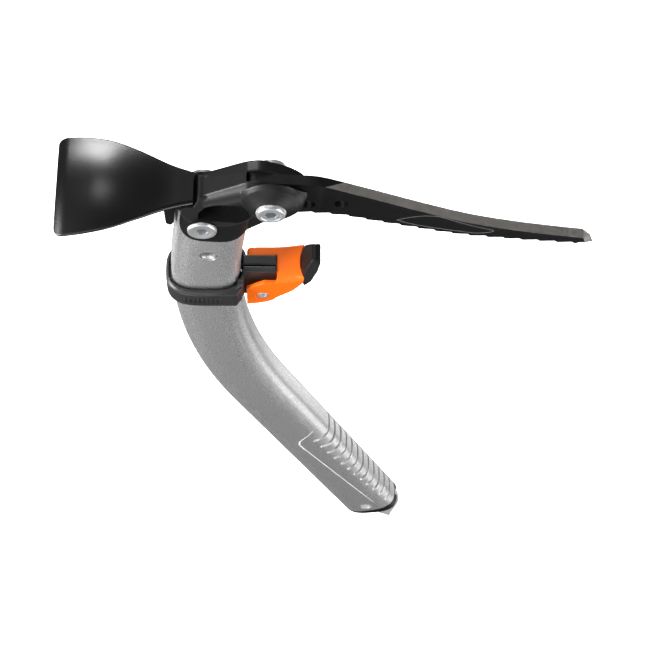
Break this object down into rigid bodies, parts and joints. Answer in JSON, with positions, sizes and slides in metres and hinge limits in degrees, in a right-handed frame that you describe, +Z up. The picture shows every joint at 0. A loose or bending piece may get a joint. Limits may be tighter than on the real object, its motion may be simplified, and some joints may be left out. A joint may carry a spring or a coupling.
{
  "type": "ice axe",
  "caption": "Compact mountaineering ice axe: curved shaft with grip grooves, steel head with adze and toothed bolted pick, plate spike, and a sliding hand rest with a lock trigger.",
  "frame": {"origin": "tip of the spike, on the centre line of the straight handle", "axes": "+Z up the straight handle towards the head, +X the way the pick points, +Y across the axe"},
  "size_m": [0.2225, 0.0502, 0.4446],
  "materials": {
    "anodised_aluminium": "satin, bead blasted and clear anodised",
    "forged_head": "satin black",
    "blade_steel": "satin black",
    "zinc_steel": "bright zinc plate",
    "steel": "satin",
    "black_plastic": "fine moulded grain",
    "black_rubber": "matt",
    "orange_plastic": "fine moulded grain"
  },
  "bodies": {
    "axe": {"shaft": "anodised_aluminium", "shaft_insert": "black_plastic", "upper_pin": "steel", "head_body": "forged_head", "adze": "blade_steel", "adze_dowel_left": "steel", "adze_dowel_right": "steel", "pick": "blade_steel", "shaft_bolt": "zinc_steel", "shaft_bolt_nut": "zinc_steel", "pick_washer": "zinc_steel", "pick_bolt": "zinc_steel", "pick_bolt_nut": "zinc_steel", "end_plug": "black_plastic", "spike": "steel", "spike_pin": "steel"},
    "hand_rest": {"collar": "black_plastic", "collar_liner": "black_rubber", "cam_washer_near": "steel", "cam_washer_far": "steel", "trigger_screw": "zinc_steel", "trigger_nut": "zinc_steel"},
    "trigger": {"trigger_cover": "orange_plastic", "trigger_beak": "black_rubber"}
  },
  "joints": [
    {"name": "hand_rest_slide", "type": "hinge", "parent": "axe", "child": "hand_rest", "pos_m": [0.345, 0, 0.215], "axis": [0, 1, 0], "range_deg": [-21.5, 5.5]},
    {"name": "trigger_lever", "type": "hinge", "parent": "hand_rest", "child": "trigger", "pos_m": [0.04726, 0, 0.3266], "axis": [0, 1, 0], "range_deg": [0, 20]}
  ]
}
